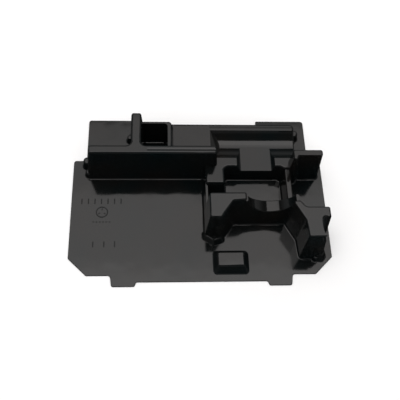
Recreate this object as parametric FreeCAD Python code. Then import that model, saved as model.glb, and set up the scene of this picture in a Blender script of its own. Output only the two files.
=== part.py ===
import FreeCAD, Part
import os
import math

os.makedirs("parts", exist_ok=True)
V = FreeCAD.Vector

# ---------------------------------------------------------------------------
# Driving dimensions, millimetres.  +X to the right, +Y to the back, +Z up.
# Heights below are measured from the upper face of the sheet; the finished
# solid is lifted at the end so that its underside sits on z = 0.
# ---------------------------------------------------------------------------
SHEET_T = 1.2          # sheet thickness after forming
HALF_W = 186.0         # half width, front part of the sheet
HALF_W_BACK = 167.0    # half width behind the side steps
STEP_Y = 63.0          # where the sheet steps in
TAB_Y = 135.7          # outer edge of the four tabs
EDGE_Y = 129.4         # edge between the tabs
SHOULDER_Y = 119.5     # front edge outside the front tabs
CHAMFER_Y = 94.0       # start of the corner cuts
CHAMFER_X = 160.0
TAB_IN = 91.0          # inner corner of the tabs
TAB_OUT = 127.0

H_TOP = 64.0           # tall walls and posts
H_BOX = 44.0           # rim of the square well
H_MID = 32.0           # middle deck
H_LEDGE = 29.0         # narrow ledge right of the tool pocket
H_LOW = 21.0           # floor of the cross channel
H_BRIDGE = 27.0        # low bridge left of the pocket
H_PAD = 12.4           # small frustum in front

R_TOP = 2.9            # rounding of upper edges
R_FOOT = 1.9           # rounding of the feet
R_PAD = 2.6
R_RIM = 1.8            # rounding of the trough rim
R_SHEET = 0.8          # rounding of the sheet outline

TROUGH_R = 31.0        # lengthwise trough, axis along X
TROUGH_Y = 74.1
SADDLE_R = 34.5        # saddle cut, axis along Y
SADDLE_X = 96.0
SADDLE_Z = 67.5
H_SADDLE = 60.0        # level where the saddle walls end inside the posts

report = []


# ---------------------------------------------------------------------------
# polygon helpers
# ---------------------------------------------------------------------------
def area(p):
    s = 0.0
    for i in range(len(p)):
        x0, y0 = p[i]
        x1, y1 = p[(i + 1) % len(p)]
        s += x0 * y1 - x1 * y0
    return s / 2


def ccw(*polys):
    """same orientation for all, counter-clockwise by the first one"""
    if area(polys[0]) < 0:
        return [list(reversed(p)) for p in polys]
    return [list(p) for p in polys]


def shift(p, d):
    """mitred offset of a counter-clockwise polygon, d > 0 grows it"""
    n = len(p)
    out = []
    for i in range(n):
        ax, ay = p[i - 1]
        bx, by = p[i]
        cx, cy = p[(i + 1) % n]
        l1 = math.hypot(bx - ax, by - ay)
        l2 = math.hypot(cx - bx, cy - by)
        n1 = ((by - ay) / l1, -(bx - ax) / l1)
        n2 = ((cy - by) / l2, -(cx - bx) / l2)
        k = 1 + n1[0] * n2[0] + n1[1] * n2[1]
        out.append((bx + d * (n1[0] + n2[0]) / k, by + d * (n1[1] + n2[1]) / k))
    return out


def turn(p, i):
    """> 0 for an outer corner of a counter-clockwise polygon"""
    ax, ay = p[i - 1]
    bx, by = p[i]
    cx, cy = p[(i + 1) % len(p)]
    return (bx - ax) * (cy - by) - (by - ay) * (cx - bx)


def ring(p, radii, z):
    """closed wire of lines and corner arcs"""
    n = len(p)
    cor = []
    for i in range(n):
        b = V(p[i][0], p[i][1], z)
        a = V(p[i - 1][0], p[i - 1][1], z)
        c = V(p[(i + 1) % n][0], p[(i + 1) % n][1], z)
        u = (a - b).normalize()
        w = (c - b).normalize()
        ang = u.getAngle(w)
        r = radii[i]
        cut = r / math.tan(ang / 2)
        m = (u + w).normalize()
        cen = b + m * (r / math.sin(ang / 2))
        cor.append((b + u * cut, cen - m * r, b + w * cut))
    es = []
    for i in range(n):
        s, m, e = cor[i]
        es.append(Part.Arc(s, m, e).toShape())
        nx = cor[(i + 1) % n][0]
        es.append(Part.makeLine(e, nx))
    return Part.Wire(es)


def lerp(a, b, k):
    return [(x0 + (x1 - x0) * k, y0 + (y1 - y0) * k) for (x0, y0), (x1, y1) in zip(a, b)]


def at_plane(shape, z, tol=1e-3):
    out = []
    for e in shape.Edges:
        bb = e.BoundBox
        if abs(bb.ZMin - z) < tol and abs(bb.ZMax - z) < tol:
            out.append(e)
    return out


def round_edges(shape, edges, r, what):
    """fillet all the edges; when that is refused, edge chains one at a time"""
    if not edges:
        return shape
    try:
        s = shape.makeFillet(r, edges)
        if s.isValid() and s.Volume > 0:
            return s
    except Exception:
        pass
    report.append("not rounded as one: %s r %.2f" % (what, r))
    try:
        s = shape.makeFillet(r * 0.6, edges)
        if s.isValid() and s.Volume > 0:
            return s
    except Exception:
        pass
    report.append("left sharp: %s" % what)
    return shape


# ---------------------------------------------------------------------------
# drafted blocks and drafted pockets; o = 0 gives the upper skin, o = SHEET_T
# the lower skin (every wall moved inwards, every top moved down)
# ---------------------------------------------------------------------------
def frustum(top, foot, zt, zf, rt, rf, o, z_end, grow):
    """loft from level zt down to z_end; grow = -o for blocks, +o for pockets"""
    top, foot, rt, rf = top, foot, rt, rf
    n = len(top)
    if not isinstance(rt, (list, tuple)):
        rt = [rt] * n
    if not isinstance(rf, (list, tuple)):
        rf = [rf] * n
    if area(top) < 0:
        top = list(reversed(top))
        foot = list(reversed(foot))
        rt = list(reversed(rt))
        rf = list(reversed(rf))
    rings = []
    for z in (z_end, zt - o if grow <= 0 else zt):
        k = (zt - z) / (zt - zf)
        p = lerp(top, foot, k)
        rr = []
        for i in range(n):
            r = rt[i] + (rf[i] - rt[i]) * k
            if turn(p, i) > 0:
                r = r + grow
            else:
                r = r - grow
            rr.append(max(r, 0.3))
        rings.append(ring(shift(p, grow), rr, z))
    return Part.makeLoft(rings, True, True)


def block(top, foot, zt, o, rt=3.2, rf=5.5, r_top=R_TOP, r_foot=R_FOOT, zf=0.0, what="block"):
    """drafted block with rounded top edges, standing on its own patch of sheet"""
    z_end = -o - 0.8
    s = frustum(top, foot, zt, zf, rt, rf, o, z_end, -o)
    if r_top:
        s = round_edges(s, at_plane(s, zt - o), max(r_top - o, 0.4), what + " top")
    if r_foot:
        xs = [q[0] for q in top + foot]
        ys = [q[1] for q in top + foot]
        slab = Part.makeBox(max(xs) - min(xs) + 24, max(ys) - min(ys) + 24, 2.0,
                            V(min(xs) - 12, min(ys) - 12, -o - 2.0))
        u = slab.fuse(s)
        feet = []
        for e in at_plane(u, -o):
            c = e.CenterOfMass
            if min(xs) - 11 < c.x < max(xs) + 11 and min(ys) - 11 < c.y < max(ys) + 11:
                feet.append(e)
        s = round_edges(u, feet, r_foot + o, what + " foot")
    return s


def pocket(top, floor, zt, zf, o, rt=4.0, rf=3.0, r_floor=2.0, over=0.0, what="pocket"):
    """tool that cuts a drafted pocket with a rounded floor edge"""
    s = frustum(top, floor, zt, zf, rt, rf, o, zf - o, o)
    if r_floor:
        s = round_edges(s, at_plane(s, zf - o), r_floor + o, what + " floor")
    return s


def rect(x0, y0, x1, y1):
    return [(x0, y0), (x1, y0), (x1, y1), (x0, y1)]


# ---------------------------------------------------------------------------
# outlines (top polygon, foot polygon)
# ---------------------------------------------------------------------------
WALL_T = [(-158.8, 38.4), (22.2, 38.4), (22.2, 51.4), (-84.9, 51.4), (-84.9, 106.4), (-98.9, 106.4), (-98.9, 51.4), (-158.8, 51.4)]
WALL_F = [(-164.5, 32.4), (27.8, 32.4), (27.8, 56.0), (-80.6, 56.0), (-80.6, 112.4), (-103.6, 112.4), (-103.6, 56.0), (-164.5, 56.0)]
WALL_RT = [3.2, 3.2, 3.2, 8.0, 3.2, 3.2, 8.0, 3.2]
WALL_RF = [6.0, 6.0, 6.0, 4.0, 6.0, 6.0, 4.0, 6.0]

BOX_T = rect(-92, 44, -41, 104.8)
BOX_F = rect(-92, 44, -31.0, 109.4)
WELL_T = rect(-88, 45, -46.5, 101.3)
WELL_F = rect(-88, 45, -50.0, 97.2)

DECK_T = [(-62, 108.8), (-62, 44), (8, 44), (8, 8), (34.5, 8), (34.5, 36), (118, 36), (124, 32.4), (142, 32.4), (143.6, 108.8)]
DECK_F = [(-62, 110.8), (-62, 44), (4.5, 44), (4.5, 4.2), (38, 4.2), (38, 31.2), (116, 31.2), (121, 28.2), (144.5, 28.2), (147, 110.8)]
DECK_RT = [3.0, 3.0, 5.0, 3.2, 3.2, 7.5, 5.0, 3.0, 3.0, 6.0]
DECK_RF = [3.0, 3.0, 5.0, 5.5, 5.5, 5.0, 5.0, 3.0, 3.0, 9.0]

LEDGE_T = rect(124.3, -19.5, 132.6, 45)
LEDGE_F = rect(121.6, -22.5, 135.0, 45)

BRIDGE_T = rect(7.4, -32, 10.4, 14)
BRIDGE_F = rect(4.6, -32, 12.8, 14)

POST_T = [(9.6, -23.4), (9.3, -61.0), (24.8, -61.0), (42.2, -36.0), (60.5, -34.6), (60.5, -23.4)]
POST_F = [(4.66, -19.6), (4.3, -65.0), (31.5, -65.0), (46.95, -42.8), (64, -41.5), (64, -19.6)]

SADDLE_T = rect(50, -35.2, 134, -25.2)
SADDLE_F = rect(50, -42.8, 134, -16.2)

HORN_T = [(125.8, -36.4), (125.8, -40.0), (139.3, -65.5), (141.2, -90.4), (174.0, -90.4), (174.0, -45.6), (141.3, -45.6), (134.6, -36.4)]
HORN_D = [4.3, 4.5, 3.4, 6.6, 3.9, 3.8, 3.4, 3.4]     # how far each side runs out at the foot
NOTCH_T = rect(164.5, -125, 195, -60.2)
NOTCH_F = rect(170.5, -125, 195, -66.5)

STOP_T = [(132, 44.6), (132, 29.2), (137.2, 29.2), (139.2, 35.2), (174.2, 35.2), (174.2, 44.6)]
STOP_F = [(128.6, 48.8), (128.6, 25.0), (142.5, 25.0), (147.5, 31.6), (178.6, 31.6), (178.6, 48.8)]

PAD_T = rect(22.2, -110.8, 58.6, -90.4)
PAD_F = rect(16.2, -118.8, 65.2, -85.0)

HEEL_T = [(163.5, -84), (171.0, -83), (172.6, -92), (168.5, -97), (163.5, -96)]
HEEL_F = [(160, -79), (174.0, -79), (176.2, -94.5), (170.5, -102.0), (160.5, -101)]

TOE_T = [(5.2, -54), (5.4, -63.5), (17.4, -71.4), (28.6, -67.2), (28.6, -54)]
TOE_F = [(1.4, -54), (1.6, -66.0), (17.2, -76.2), (33.2, -70.6), (33.2, -54)]


def spread(p, d):
    """polygon with side i (from corner i to the next) moved out by d[i]"""
    n = len(p)
    sgn = 1.0 if area(p) > 0 else -1.0
    lines = []
    for i in range(n):
        x0, y0 = p[i]
        x1, y1 = p[(i + 1) % n]
        ln = math.hypot(x1 - x0, y1 - y0)
        nx, ny = sgn * (y1 - y0) / ln, -sgn * (x1 - x0) / ln
        lines.append((nx, ny, nx * x0 + ny * y0 + d[i]))
    out = []
    for i in range(n):
        a1, b1, c1 = lines[i - 1]
        a2, b2, c2 = lines[i]
        det = a1 * b2 - a2 * b1
        out.append(((c1 * b2 - c2 * b1) / det, (a1 * c2 - a2 * c1) / det))
    return out


HORN_F = spread(HORN_T, HORN_D)


def cyl_x(r, y, z, x0, x1):
    return Part.makeCylinder(r, x1 - x0, V(x0, y, z), V(1, 0, 0))


def cyl_y(r, x, z, y0, y1):
    return Part.makeCylinder(r, y1 - y0, V(x, y0, z), V(0, 1, 0))


def trough_tool(o):
    """round-bottomed trough with a sloping left end, open to the right"""
    zc = H_LOW + TROUGH_R
    s = cyl_x(TROUGH_R + o, TROUGH_Y, zc, 2, 170)
    # sloping end plane through (17, z 32) and (31, z 21)
    dx, dz = 14.0, -11.0
    ln = math.hypot(dx, dz)
    nx, nz = -dz / ln, dx / ln            # normal pointing up and right
    px, pz = 17.0 - nx * o, H_MID - nz * o
    a = V(px - dx * 4, 0, pz - dz * 4)
    b = V(px + dx * 13, 0, pz + dz * 13)
    c = V(b.x + nx * 200, 0, b.z + nz * 200)
    d = V(a.x + nx * 200, 0, a.z + nz * 200)
    w = Part.makePolygon([a, b, c, d, a])
    keep = Part.Face(w).extrude(V(0, 160, 0))
    return s.common(keep)


def channel_tool(o):
    """flat-bottomed cross channel from the trough to the tool pocket"""
    k = 45.0
    lo, hi = H_LOW - o, H_LOW + 24
    sl, sr = 6.0 / 11.0, 3.6 / 11.0       # side slopes, left and right
    ol, orr = o * math.hypot(1, sl), o * math.hypot(1, sr)
    xl, xr = 60.0 - ol, 106.7 + orr
    p = [V(xl - sl * (lo - H_LOW), 10, lo), V(xr + sr * (lo - H_LOW), 10, lo),
         V(xr + sr * (hi - H_LOW), 10, hi), V(xl - sl * (hi - H_LOW), 10, hi)]
    f = Part.Face(Part.makePolygon(p + [p[0]]))
    s = f.extrude(V(0, TROUGH_Y - 10, 0))
    es = []
    for e in s.Edges:
        bb = e.BoundBox
        if bb.YLength > 20 and abs(bb.ZMin - lo) < 1e-3:
            es.append(e)
    return round_edges(s, es, 2.0 + o, "channel floor")


def bump(x, y, r, h, o):
    """small forming web at the foot of a wall end"""
    q = r + h * 0.12
    return block(rect(x - r, y - r, x + r, y + r), rect(x - q, y - q, x + q, y + q), h, o,
                 r - 0.4, q - 0.4, r_top=min(r * 0.55, 2.6), r_foot=1.4, what="web")


# ---------------------------------------------------------------------------
# one skin of the forming
# ---------------------------------------------------------------------------
def skin(o):
    deck = block(DECK_T, DECK_F, H_MID, o, DECK_RT, DECK_RF, what="deck")
    box = block(BOX_T, BOX_F, H_BOX, o, [3, 3, 5.0, 3], [3, 3, 7.5, 3], r_top=2.0, what="box")
    ledge = block(LEDGE_T, LEDGE_F, H_LEDGE, o, 3.2, 4.5, r_top=1.8, what="ledge")
    base = deck.fuse([box, ledge])
    tool = trough_tool(o)
    base = base.cut(tool)
    rim = []
    for e in at_plane(base, H_MID - o):
        bb = e.BoundBox
        if bb.XMin > 10 and bb.YMin > 44 and bb.YMax < 100 and e.Length > 20 and tool.distToShape(Part.Vertex(e.CenterOfMass))[0] < 0.01:
            rim.append(e)
    report.append("rim edges %d" % len(rim))
    base = round_edges(base, rim, max(R_RIM - o, 0.5), "trough rim")
    base = base.cut(channel_tool(o))
    if o == 0:
        # fine crease along the deck behind the trough
        base = base.cut(cyl_x(1.5, 102.8, H_MID + 0.95, 16, 140))
    base = base.cut(pocket(WELL_T, WELL_F, H_BOX, 0.0, o, 5.0, 4.0, 2.4, what="well"))

    wall = block(WALL_T, WALL_F, H_TOP, o, WALL_RT, WALL_RF, what="wall")
    if o == 0:
        # shallow crease along the wall top
        wall = wall.cut(cyl_x(7.0, 44.6, H_TOP + 6.6, -76, 24))
    post = block(POST_T, POST_F, H_TOP, o, [3.0, 3.6, 3.8, 3.0, 3.0, 3.0], [5.0, 5.0, 5.5, 5.0, 5.0, 5.0], r_top=2.6, what="post")
    # upright flute in the nose of the post
    g0, g1 = V(18.0, -66.0, -2), V(17.1, -61.9, H_TOP + 2)
    ax = g1 - g0
    flute = Part.makeCylinder(2.6 + o, ax.Length, g0, ax)
    post = post.cut(flute.common(Part.makeBox(60, 60, 90, V(-10, -100, 8.0 - o))))
    toe = block(TOE_T, TOE_F, 8.5, o, 4.0, 5.5, r_top=1.8, r_foot=1.6, what="toe")
    bridge = block(BRIDGE_T, BRIDGE_F, H_BRIDGE, o, 1.3, 3.0, r_top=0, what="bridge")
    stop = block(STOP_T, STOP_F, H_TOP, o, [3, 3, 2.2, 2.5, 3, 3], [5, 5, 4.0, 3.0, 5, 5], r_top=1.8, what="stop")

    saddle = block(SADDLE_T, SADDLE_F, H_SADDLE, o, 3.0, 4.0, r_top=0, what="saddle")
    saddle = saddle.cut(cyl_y(SADDLE_R + o, SADDLE_X, SADDLE_Z, -80, 20))
    es = []
    for e in saddle.Edges:
        if e.Curve.TypeId != "Part::GeomLine":
            bb = e.BoundBox
            if bb.XLength > 30 and bb.ZLength > 10 and bb.YLength < 8:
                es.append(e)
    saddle = round_edges(saddle, es, max(2.2 - o, 0.5), "saddle rim")
    saddle = saddle.common(Part.makeBox(140, 80, 80, V(30, -80, H_SADDLE - o - 80)))

    horn = block(HORN_T, HORN_F, H_TOP, o, [2.6, 2.6, 8, 3, 3, 3, 8, 2.6],
                 [4, 4, 8, 5, 5, 5, 6, 4], r_top=2.2, what="horn")
    horn = horn.cut(pocket(NOTCH_T, NOTCH_F, H_TOP + 2, 0.0, o, 6.0, 6.0, 2.4, what="notch"))
    # round-ended scoop that runs down into the notch
    s0, s1 = V(166.3, -64.6, 65.4), V(164.0, -104.0, 53.0)
    sx = s1 - s0
    horn = horn.cut(Part.makeSphere(5.6 + o, s0).fuse(Part.makeCylinder(5.6 + o, sx.Length, s0, sx)))
    heel = block(HEEL_T, HEEL_F, 14.0, o, 3.2, 5.0, r_top=2.4, r_foot=1.6, what="heel")
    pad = block(PAD_T, PAD_F, H_PAD, o, 2.6, 5.5, r_top=R_PAD, r_foot=2.0, what="pad")

    parts = [wall, post, toe, bridge, stop, saddle, horn, heel, pad]
    parts += [bump(-164.5, 54.0, 5.5, 17.0, o), bump(-161.5, 39.0, 5.0, 11.0, o),
              bump(-103.0, 98.0, 4.0, 12.0, o), bump(147.6, 104.0, 5.5, 15.0, o),
              bump(160.5, -97.0, 3.2, 9.0, o)]
    slab = Part.makeBox(420, 320, 2.0, V(-210, -160, -o - 2.0))
    whole = slab.fuse(base)
    for q in parts:
        grown = whole.fuse(q)
        if len(grown.Solids) != 1 or not grown.isValid() or grown.Volume < whole.Volume - 1e-3:
            report.append("joined with care: piece %d of skin %.1f, solids %d" % (parts.index(q), o, len(grown.Solids)))
        whole = grown
    return whole


# ---------------------------------------------------------------------------
# cut outline of the sheet
# ---------------------------------------------------------------------------
def outline():
    right = [(TAB_IN, -EDGE_Y), (TAB_IN + 2.5, -TAB_Y), (TAB_OUT - 2.0, -TAB_Y), (TAB_OUT, -SHOULDER_Y),
             (CHAMFER_X, -SHOULDER_Y), (HALF_W, -CHAMFER_Y), (HALF_W, STEP_Y), (HALF_W_BACK, STEP_Y),
             (HALF_W_BACK, TAB_Y), (TAB_IN + 1, TAB_Y), (TAB_IN + 1, EDGE_Y)]
    rr = [3.0, 2.0, 3.5, 4.0, 3.0, 3.0, 4.0, 3.5, 4.0, 2.0, 2.0]
    left = [(-x, y) for x, y in reversed(right)]
    rl = list(reversed(rr))
    pts, rad = right + left, rr + rl
    low = Part.Face(ring(pts, rad, -20.0)).extrude(V(0, 0, 20.0))
    low = round_edges(low, at_plane(low, 0.0), R_SHEET, "sheet outline")
    if area(pts) < 0:
        pts, rad = list(reversed(pts)), list(reversed(rad))
    inner = shift(pts, -2.0)
    rin = [max(r - 2.0, 0.5) if turn(pts, i) > 0 else r + 2.0 for i, r in enumerate(rad)]
    high = Part.Face(ring(inner, rin, -2.0)).extrude(V(0, 0, 102))
    return low.fuse(high)


def ridge(x0, y0, x1, y1, r=0.75):
    """half-round ridge with round ends, half sunk in the sheet"""
    a, b = V(x0, y0, 0), V(x1, y1, 0)
    s = Part.makeCylinder(r, (b - a).Length, a, b - a)
    return s.fuse([Part.makeSphere(r, a), Part.makeSphere(r, b)])


def marks():
    """plain half-round ticks on the open left field"""
    out = [ridge(-171.0 + i * 9.4, -8.6, -171.0 + i * 9.4, -1.6) for i in range(7)]
    cx, cy = -141.5, -22.5
    out.append(Part.makeTorus(8.0, 0.75, V(cx, cy, 0)))
    for i in range(3):
        t = math.radians(90 + 120 * i)
        out.append(ridge(cx + 3.4 * math.cos(t), cy + 3.4 * math.sin(t), cx + 5.6 * math.cos(t), cy + 5.6 * math.sin(t), 0.6))
    for i in range(6):
        out.append(ridge(-154.0 + i * 4.6, -38.2, -152.4 + i * 4.6, -38.2, 0.6))
    for x in (-152.4, -137.0, -122.0):
        out.append(ridge(x, -76.4, x, -69.2))
    return out


upper = skin(0.0)
lower = skin(SHEET_T)
print("skins", upper.isValid(), lower.isValid(), len(upper.Solids), len(lower.Solids))
edge = outline()
tray = upper.common(edge).cut(lower)
print("tray", tray.isValid(), len(tray.Solids), tray.Volume)
if len(tray.Solids) > 1:
    ss = sorted(tray.Solids, key=lambda q: -q.Volume)
    print([round(q.Volume, 1) for q in ss])
    tray = ss[0]
else:
    tray = tray.Solids[0]
tray = tray.fuse(marks())
tray = tray.Solids[0] if len(tray.Solids) == 1 else sorted(tray.Solids, key=lambda q: -q.Volume)[0]
tray.translate(V(0, 0, SHEET_T))
for line in report:
    print(line)
bb = tray.BoundBox
print("box", round(bb.XMin, 2), round(bb.XMax, 2), round(bb.YMin, 2), round(bb.YMax, 2), round(bb.ZMin, 3), round(bb.ZMax, 3))
print("valid", tray.isValid(), "solids", len(tray.Solids), "faces", len(tray.Faces), "cm3", round(tray.Volume / 1000, 2))
tray.exportStep("parts/tray.step")
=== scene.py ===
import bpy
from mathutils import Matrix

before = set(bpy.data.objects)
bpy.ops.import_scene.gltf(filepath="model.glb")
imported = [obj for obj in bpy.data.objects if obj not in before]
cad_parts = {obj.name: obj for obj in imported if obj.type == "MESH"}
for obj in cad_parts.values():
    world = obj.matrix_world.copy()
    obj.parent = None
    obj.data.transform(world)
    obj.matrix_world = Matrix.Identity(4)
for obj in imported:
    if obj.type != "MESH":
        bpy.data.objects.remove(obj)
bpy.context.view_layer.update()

import math

import bpy
from mathutils import Matrix, Vector

scene = bpy.context.scene
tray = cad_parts["tray"]

# ------------------------------------------------------------------ look
scene.view_settings.view_transform = "Standard"
scene.view_settings.look = "None"
scene.view_settings.exposure = 0.0
scene.view_settings.gamma = 1.0


# -------------------------------------------------------------- materials
def new_mat(name):
    m = bpy.data.materials.new(name)
    m.use_nodes = True
    nt = m.node_tree
    for n in list(nt.nodes):
        nt.nodes.remove(n)
    out = nt.nodes.new("ShaderNodeOutputMaterial")
    bsdf = nt.nodes.new("ShaderNodeBsdfPrincipled")
    nt.links.new(bsdf.outputs["BSDF"], out.inputs["Surface"])
    return m, nt, bsdf


def black_styrene():
    m, nt, b = new_mat("black_styrene")
    N, L = nt.nodes, nt.links
    co = N.new("ShaderNodeTexCoord")
    # cloudy drift of the sheet colour
    n1 = N.new("ShaderNodeTexNoise")
    n1.inputs["Scale"].default_value = 14.0
    n1.inputs["Detail"].default_value = 3.0
    L.new(co.outputs["Object"], n1.inputs["Vector"])
    r1 = N.new("ShaderNodeValToRGB")
    r1.color_ramp.elements[0].position = 0.30
    r1.color_ramp.elements[0].color = (0.0018, 0.0042, 0.0048, 1)
    r1.color_ramp.elements[1].position = 0.72
    r1.color_ramp.elements[1].color = (0.0052, 0.0046, 0.0042, 1)
    L.new(n1.outputs["Fac"], r1.inputs["Fac"])
    L.new(r1.outputs["Color"], b.inputs["Base Color"])
    # gloss varies over the drawn sheet
    n2 = N.new("ShaderNodeTexNoise")
    n2.inputs["Scale"].default_value = 32.0
    n2.inputs["Detail"].default_value = 4.0
    L.new(co.outputs["Object"], n2.inputs["Vector"])
    mr = N.new("ShaderNodeMapRange")
    mr.inputs["From Min"].default_value = 0.3
    mr.inputs["From Max"].default_value = 0.7
    mr.inputs["To Min"].default_value = 0.08
    mr.inputs["To Max"].default_value = 0.12
    L.new(n2.outputs["Fac"], mr.inputs["Value"])
    L.new(mr.outputs["Result"], b.inputs["Roughness"])
    b.inputs["IOR"].default_value = 1.55
    # slight waviness of drawn sheet
    n3 = N.new("ShaderNodeTexNoise")
    n3.inputs["Scale"].default_value = 26.0
    n3.inputs["Detail"].default_value = 1.5
    L.new(co.outputs["Object"], n3.inputs["Vector"])
    bp = N.new("ShaderNodeBump")
    bp.inputs["Strength"].default_value = 0.5
    bp.inputs["Distance"].default_value = 0.0008
    L.new(n3.outputs["Fac"], bp.inputs["Height"])
    L.new(bp.outputs["Normal"], b.inputs["Normal"])
    return m


def plain_floor():
    m, nt, b = new_mat("pale_floor")
    b.inputs["Base Color"].default_value = (0.96, 0.96, 0.96, 1)
    b.inputs["Roughness"].default_value = 0.9
    b.inputs["Specular IOR Level"].default_value = 0.1
    return m


MAT = black_styrene()
tray.data.materials.clear()
tray.data.materials.append(MAT)

# ------------------------------------------------------------------ floor
bpy.ops.mesh.primitive_plane_add(size=6.0, location=(0, 0, -0.0003))
floor = bpy.context.object
floor.name = "floor"
floor.data.materials.append(plain_floor())
floor.visible_glossy = False

# ------------------------------------------------------------------ camera
F_PX, PITCH, YAW, ROLL = 633.115, 1.09551256, 0.141168641, 0.124064095
POS = Vector((-0.059275, -0.424299, 0.827669))
fwd = Vector((math.sin(YAW) * math.cos(PITCH), math.cos(YAW) * math.cos(PITCH), -math.sin(PITCH)))
right = Vector((math.cos(YAW), -math.sin(YAW), 0.0))
up = right.cross(fwd)
r2 = math.cos(ROLL) * right + math.sin(ROLL) * up
u2 = -math.sin(ROLL) * right + math.cos(ROLL) * up
cd = bpy.data.cameras.new("cam")
cam = bpy.data.objects.new("cam", cd)
scene.collection.objects.link(cam)
cd.sensor_width = 36.0
cd.sensor_fit = "HORIZONTAL"
cd.lens = F_PX / 400.0 * 36.0
cd.clip_start, cd.clip_end = 0.01, 20.0
M = Matrix(((r2.x, u2.x, -fwd.x, POS.x), (r2.y, u2.y, -fwd.y, POS.y), (r2.z, u2.z, -fwd.z, POS.z), (0, 0, 0, 1)))
cam.matrix_world = M
scene.camera = cam

# ------------------------------------------------------------------ light
world = bpy.data.worlds.new("world")
scene.world = world
world.use_nodes = True
wn = world.node_tree
bg = wn.nodes["Background"]
bg.inputs["Color"].default_value = (1, 1, 1, 1)
bg.inputs["Strength"].default_value = 0.82
# what the gloss sees: a dim room with a soft brighter band near the horizon
room = wn.nodes.new("ShaderNodeBackground")
tc = wn.nodes.new("ShaderNodeTexCoord")
sep = wn.nodes.new("ShaderNodeSeparateXYZ")
wn.links.new(tc.outputs["Generated"], sep.inputs["Vector"])
band = wn.nodes.new("ShaderNodeValToRGB")
cr = band.color_ramp
cr.elements[0].position, cr.elements[0].color = 0.0, (0.02, 0.02, 0.02, 1)
cr.elements[1].position, cr.elements[1].color = 0.70, (0.02, 0.02, 0.02, 1)
for pos, v in ((0.05, 0.24), (0.42, 0.20)):
    el = cr.elements.new(pos)
    el.color = (v, v, v, 1)
wn.links.new(sep.outputs["Z"], band.inputs["Fac"])
wn.links.new(band.outputs["Color"], room.inputs["Color"])
lp = wn.nodes.new("ShaderNodeLightPath")
mix = wn.nodes.new("ShaderNodeMixShader")
wn.links.new(lp.outputs["Is Glossy Ray"], mix.inputs[0])
wn.links.new(bg.outputs[0], mix.inputs[1])
wn.links.new(room.outputs[0], mix.inputs[2])
wn.links.new(mix.outputs[0], wn.nodes["World Output"].inputs["Surface"])


def softbox(name, x0, x1, y0, y1, z, radiance, tint=(1.0, 0.965, 0.95)):
    """A level soft light facing down over the rectangle x0..x1, y0..y1 (degrees off straight up)."""
    tx0, tx1, ty0, ty1 = (z * math.tan(math.radians(a)) for a in (x0, x1, y0, y1))
    ld = bpy.data.lights.new(name, "AREA")
    ld.shape = "RECTANGLE"
    ld.size, ld.size_y = tx1 - tx0, ty1 - ty0
    ld.energy = radiance * ld.size * ld.size_y * math.pi
    ld.color = tint
    ob = bpy.data.objects.new(name, ld)
    scene.collection.objects.link(ob)
    ob.location = ((tx0 + tx1) / 2, (ty0 + ty1) / 2, z)
    return ob


softbox("overhead_near", -31, 25, -7, 18, 2.0, 1.70)
softbox("overhead_mid", -31, 25, 18, 28, 2.0, 1.32)
softbox("overhead_far", -31, 25, 28, 37, 2.0, 1.05)
